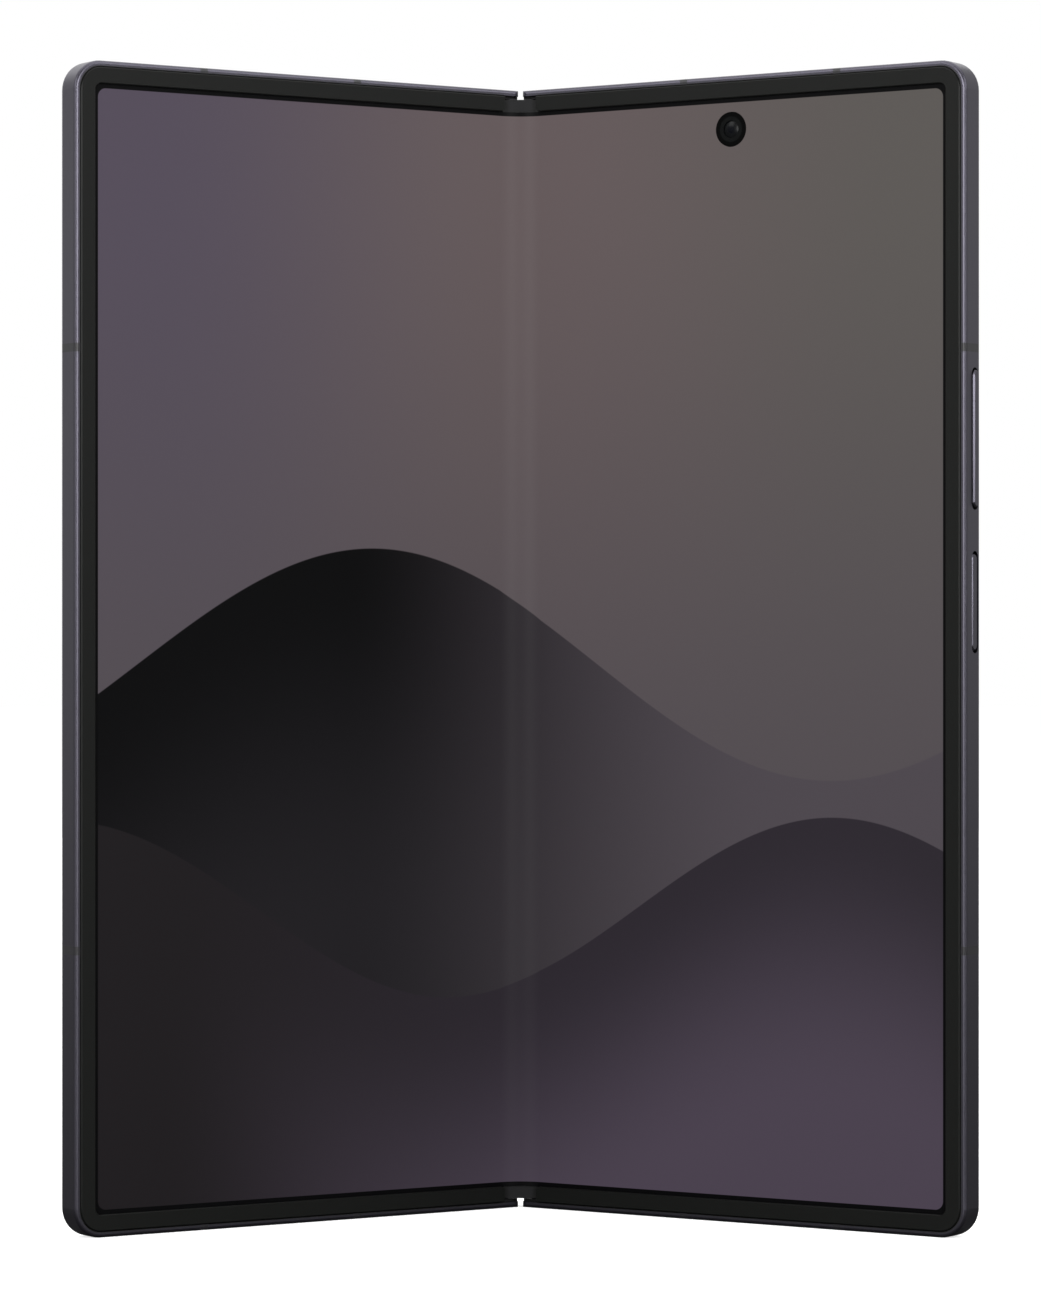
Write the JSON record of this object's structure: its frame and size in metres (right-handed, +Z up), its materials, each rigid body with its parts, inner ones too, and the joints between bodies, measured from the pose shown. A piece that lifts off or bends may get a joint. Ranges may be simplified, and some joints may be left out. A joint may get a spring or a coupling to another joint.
{
  "type": "foldable smartphone",
  "caption": "Book-style folding phone standing part-open, with a geared dual-axis hinge, folding inner display, cover display, side keys, SIM tray and rear cameras.",
  "frame": {"origin": "middle of the phone's bounding box in X and Y, at the bottom edge it stands on", "axes": "+Z up along the hinge, +Y away from the inner display, +X to the right seen from the inner display"},
  "size_m": [0.1236, 0.0422, 0.1584],
  "materials": {
    "anodised_frame": "satin anodised",
    "hinge_metal": "satin",
    "cover_metal": "satin anodised",
    "cap_plastic": "matte",
    "bezel_plastic": "matte",
    "antenna_plastic": "satin",
    "display_film": "glossy",
    "plate_steel": "brushed",
    "cover_glass": "polished",
    "back_glass": "frosted",
    "oled": "glossy",
    "island_metal": "satin",
    "ring_metal": "turned",
    "lens_glass": "polished",
    "flash_plastic": "glossy",
    "camera_black": "matte",
    "battery_pouch": "foil with black film",
    "circuit_board": "solder mask",
    "shield_steel": "satin",
    "screw_steel": "bright",
    "copper": "lacquered copper",
    "speaker_plastic": "matte",
    "motor_steel": "satin",
    "magnet": "nickel plated",
    "port_steel": "satin",
    "switch_film": "matte",
    "flex_film": "polyimide"
  },
  "bodies": {
    "hinge_spine": {"hinge_cover": "cover_metal", "hinge_end_caps": "cap_plastic", "hinge_housings": "hinge_metal", "housing_screws": "screw_steel", "gear_shafts": "hinge_metal", "torque_springs": "hinge_metal", "cam_followers": "hinge_metal", "cover_stiffener": "plate_steel", "display_bend": "display_film", "hinge_flex_cables": "flex_film"},
    "left_half": {"left_frame": "anodised_frame", "left_antenna_bands": "antenna_plastic", "left_bezel": "bezel_plastic", "left_hinge_brackets": "hinge_metal", "left_bracket_screws": "screw_steel", "display_panel_left": "display_film", "display_plate_left": "plate_steel", "cover_glass": "cover_glass", "cover_display_panel": "oled", "cover_camera": "camera_black", "left_battery": "battery_pouch", "left_board": "circuit_board", "left_board_screws": "screw_steel", "left_flex_connectors": "flex_film", "earpiece_speaker": "speaker_plastic", "vibration_motor": "motor_steel", "closing_magnets_left": "magnet", "sim_reader": "shield_steel"},
    "right_half": {"right_frame": "anodised_frame", "right_antenna_bands": "antenna_plastic", "right_bezel": "bezel_plastic", "right_hinge_brackets": "hinge_metal", "right_bracket_screws": "screw_steel", "display_panel_right": "display_film", "display_plate_right": "plate_steel", "back_glass": "back_glass", "camera_island": "island_metal", "camera_lens_rings": "ring_metal", "camera_lens_glass": "lens_glass", "camera_modules": "camera_black", "flash_lens": "flash_plastic", "main_board": "circuit_board", "board_shields": "shield_steel", "right_board_screws": "screw_steel", "right_flex_connectors": "flex_film", "right_battery": "battery_pouch", "wireless_coil": "copper", "inner_camera": "camera_black", "loudspeaker": "speaker_plastic", "usb_port": "port_steel", "bottom_board": "circuit_board", "closing_magnets_right": "magnet", "key_switches": "switch_film"},
    "left_arm": {"left_sync_arms": "hinge_metal"},
    "right_arm": {"right_sync_arms": "hinge_metal"},
    "left_idler": {"left_idler_gears": "hinge_metal"},
    "right_idler": {"right_idler_gears": "hinge_metal"},
    "volume_rocker": {"volume_key": "anodised_frame"},
    "side_button": {"side_key": "anodised_frame"},
    "tray": {"sim_tray": "anodised_frame"}
  },
  "joints": [
    {"name": "left_fold", "type": "hinge", "parent": "hinge_spine", "child": "left_half", "pos_m": [-0.00125, 0.01792, 0.0792], "axis": [0, 0, 1], "range_deg": [-33, 57], "deforming": ["display_bend", "hinge_flex_cables"]},
    {"name": "right_fold", "type": "hinge", "parent": "hinge_spine", "child": "right_half", "pos_m": [0.00125, 0.01792, 0.0792], "axis": [0, 0, 1], "range_deg": [-57, 33]},
    {"name": "left_arm_turn", "type": "hinge", "parent": "hinge_spine", "child": "left_arm", "pos_m": [-0.0021, 0.01872, 0.0792], "axis": [0, 0, 1], "range_deg": [-33, 57]},
    {"name": "right_arm_turn", "type": "hinge", "parent": "hinge_spine", "child": "right_arm", "pos_m": [0.0021, 0.01872, 0.0792], "axis": [0, 0, 1], "range_deg": [-57, 33]},
    {"name": "left_idler_turn", "type": "hinge", "parent": "hinge_spine", "child": "left_idler", "pos_m": [-0.0007, 0.01872, 0.0792], "axis": [0, 0, 1], "range_deg": [-57, 33]},
    {"name": "right_idler_turn", "type": "hinge", "parent": "hinge_spine", "child": "right_idler", "pos_m": [0.0007, 0.01872, 0.0792], "axis": [0, 0, 1], "range_deg": [-33, 57]},
    {"name": "volume_rock", "type": "hinge", "parent": "right_half", "child": "volume_rocker", "pos_m": [0.05986, -0.01824, 0.1075], "axis": [0.5446, 0.8387, 0], "range_deg": [-1, 1], "stiffness_Nm_per_rad": 0.6},
    {"name": "side_press", "type": "slide", "parent": "right_half", "child": "side_button", "axis": [-0.8387, 0.5446, 0], "range_m": [0, 0.00025], "stiffness_N_per_m": 2000, "springref_m": -0.0001},
    {"name": "tray_slide", "type": "slide", "parent": "left_half", "child": "tray", "axis": [0, 0, 1], "range_m": [0, 0.016]}
  ],
  "couplings": [
    {"joint": "right_fold", "follows": "left_fold", "ratio": -1},
    {"joint": "left_arm_turn", "follows": "left_fold", "ratio": 1},
    {"joint": "right_arm_turn", "follows": "left_fold", "ratio": -1},
    {"joint": "left_idler_turn", "follows": "left_fold", "ratio": -1},
    {"joint": "right_idler_turn", "follows": "left_fold", "ratio": 1}
  ]
}
